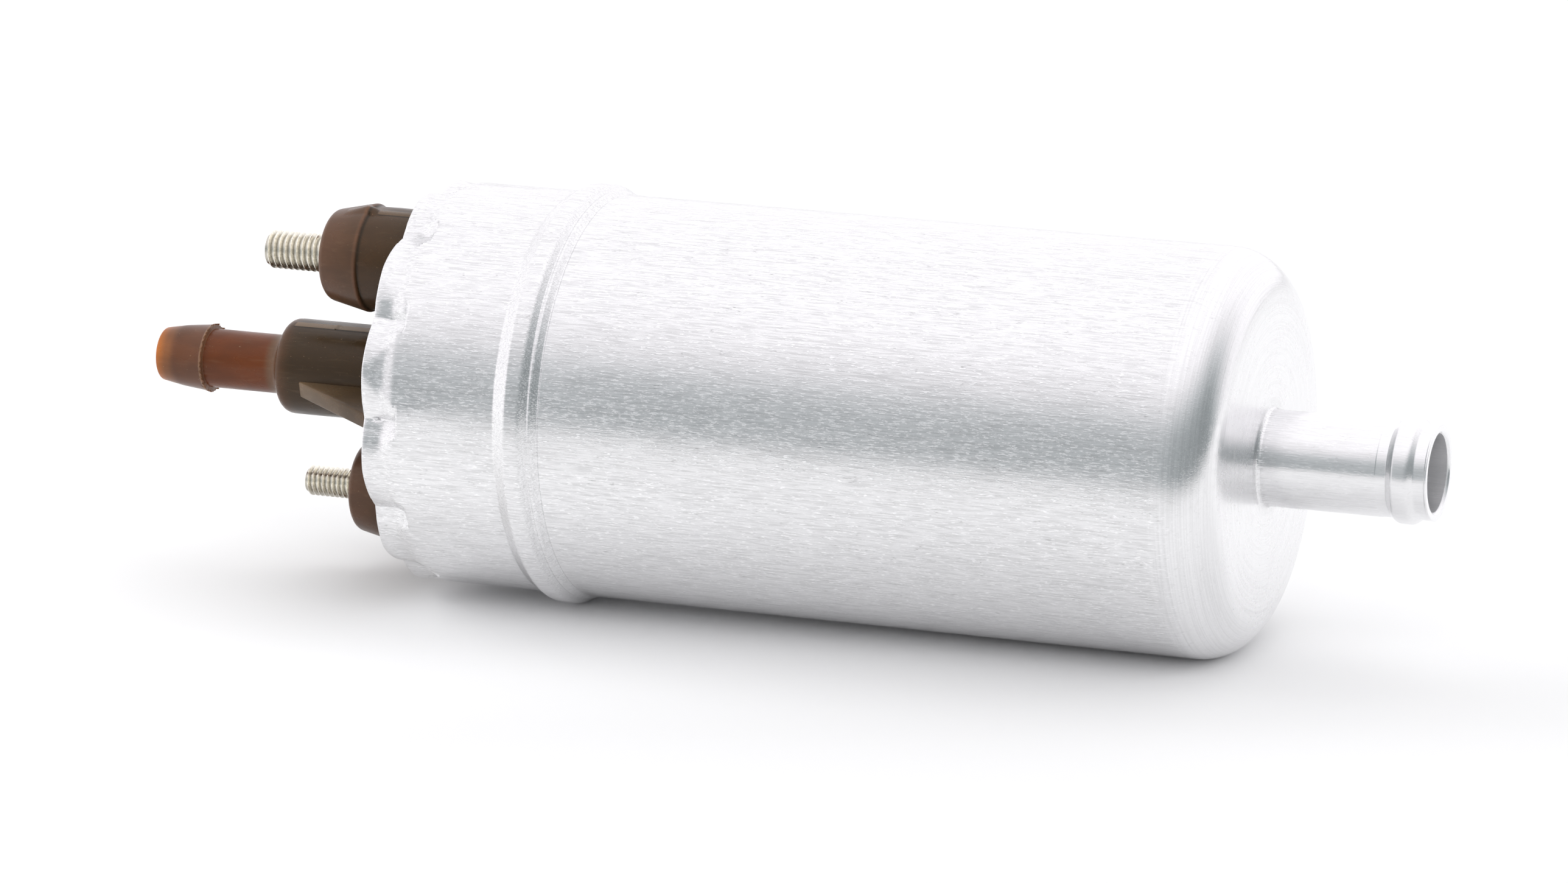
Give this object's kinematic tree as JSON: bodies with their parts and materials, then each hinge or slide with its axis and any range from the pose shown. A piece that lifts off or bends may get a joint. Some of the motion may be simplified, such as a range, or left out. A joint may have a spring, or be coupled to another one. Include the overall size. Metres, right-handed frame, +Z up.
{
  "type": "fuel pump",
  "caption": "In-line electric fuel pump: drawn metal can with a bead and an inlet spigot, moulded end cover with a barbed outlet nipple and threaded terminals.",
  "frame": {"origin": "on the pump's axis, in the middle of the can's straight seat for a clamp band", "axes": "+X along the axis towards the inlet spigot, +Z up as the pump lies in the picture; the line through the terminals leans 14 degrees from +Z towards -Y"},
  "size_m": [0.1741, 0.0542, 0.0542],
  "materials": {
    "can_aluminium": "drawn, finely brushed",
    "cover_plastic": "moulded, semi-gloss, slightly translucent",
    "stud_nickel": "nickel plated",
    "seal_rubber": "matt",
    "brass": "drawn",
    "carbon": "matt graphite",
    "copper": "enamelled copper",
    "laminations": "stacked sheet",
    "sintered_bronze": "sintered",
    "ferrite": "matt ferrite",
    "bright_steel": "ground",
    "sintered_steel": "sintered, ground faces",
    "insulation": "pressed fibre board",
    "nylon": "moulded mesh"
  },
  "bodies": {
    "pump_body": {"housing": "can_aluminium", "end_cover": "cover_plastic", "terminal_stud_large": "stud_nickel", "terminal_stud_small": "stud_nickel", "cover_seal": "seal_rubber", "check_valve_seat": "brass", "check_valve_spring": "bright_steel", "contact_strap_upper": "brass", "brush_holder_upper": "brass", "brush_spring_upper": "bright_steel", "contact_strap_lower": "brass", "brush_holder_lower": "brass", "brush_spring_lower": "bright_steel", "bearing_carrier": "bright_steel", "bearing_outlet": "sintered_bronze", "thrust_washer_outlet": "insulation", "thrust_washer_pump": "insulation", "flux_sleeve": "bright_steel", "magnet_back": "ferrite", "magnet_front": "ferrite", "magnet_clip_upper": "bright_steel", "magnet_clip_lower": "bright_steel", "bearing_plate": "sintered_steel", "eccentric_ring": "sintered_steel", "inlet_plate": "sintered_steel", "bearing_pump": "sintered_bronze", "stage_screws": "bright_steel", "relief_valve_spring": "bright_steel", "relief_valve_plug": "brass", "stage_seal": "seal_rubber", "spacer_ring": "bright_steel", "inlet_strainer": "nylon"},
    "armature": {"armature_shaft": "bright_steel", "armature_core": "laminations", "armature_windings": "copper", "commutator": "copper", "insulator_outlet": "insulation", "insulator_pump": "insulation", "inner_rotor": "sintered_steel"},
    "outer_rotor": {"outer_rotor": "sintered_steel"},
    "brush_upper": {"brush_upper": "carbon"},
    "brush_lower": {"brush_lower": "carbon"},
    "check_valve_poppet": {"check_valve_poppet": "brass"},
    "relief_valve_ball": {"relief_valve_ball": "bright_steel"}
  },
  "joints": [
    {"name": "armature_spin", "type": "hinge", "parent": "pump_body", "child": "armature", "pos_m": [0, 0, 0], "axis": [1, 0, 0], "continuous": true},
    {"name": "outer_rotor_spin", "type": "hinge", "parent": "pump_body", "child": "outer_rotor", "pos_m": [0, -0.00116, -0.00029], "axis": [1, 0, 0], "continuous": true},
    {"name": "brush_upper_slide", "type": "slide", "parent": "pump_body", "child": "brush_upper", "axis": [0, -0.2419, 0.9703], "range_m": [0, 0.003], "stiffness_N_per_m": 300, "deforming": ["brush_spring_upper"]},
    {"name": "brush_lower_slide", "type": "slide", "parent": "pump_body", "child": "brush_lower", "axis": [0, 0.2419, -0.9703], "range_m": [0, 0.003], "stiffness_N_per_m": 300, "deforming": ["brush_spring_lower"]},
    {"name": "check_valve_lift", "type": "slide", "parent": "pump_body", "child": "check_valve_poppet", "axis": [-1, 0, 0], "range_m": [0, 0.0016], "stiffness_N_per_m": 200, "deforming": ["check_valve_spring"]},
    {"name": "relief_valve_lift", "type": "slide", "parent": "pump_body", "child": "relief_valve_ball", "axis": [1, 0, 0], "range_m": [0, 0.001], "stiffness_N_per_m": 1500, "deforming": ["relief_valve_spring"]}
  ],
  "couplings": [
    {"joint": "outer_rotor_spin", "follows": "armature_spin", "ratio": 0.85714}
  ]
}
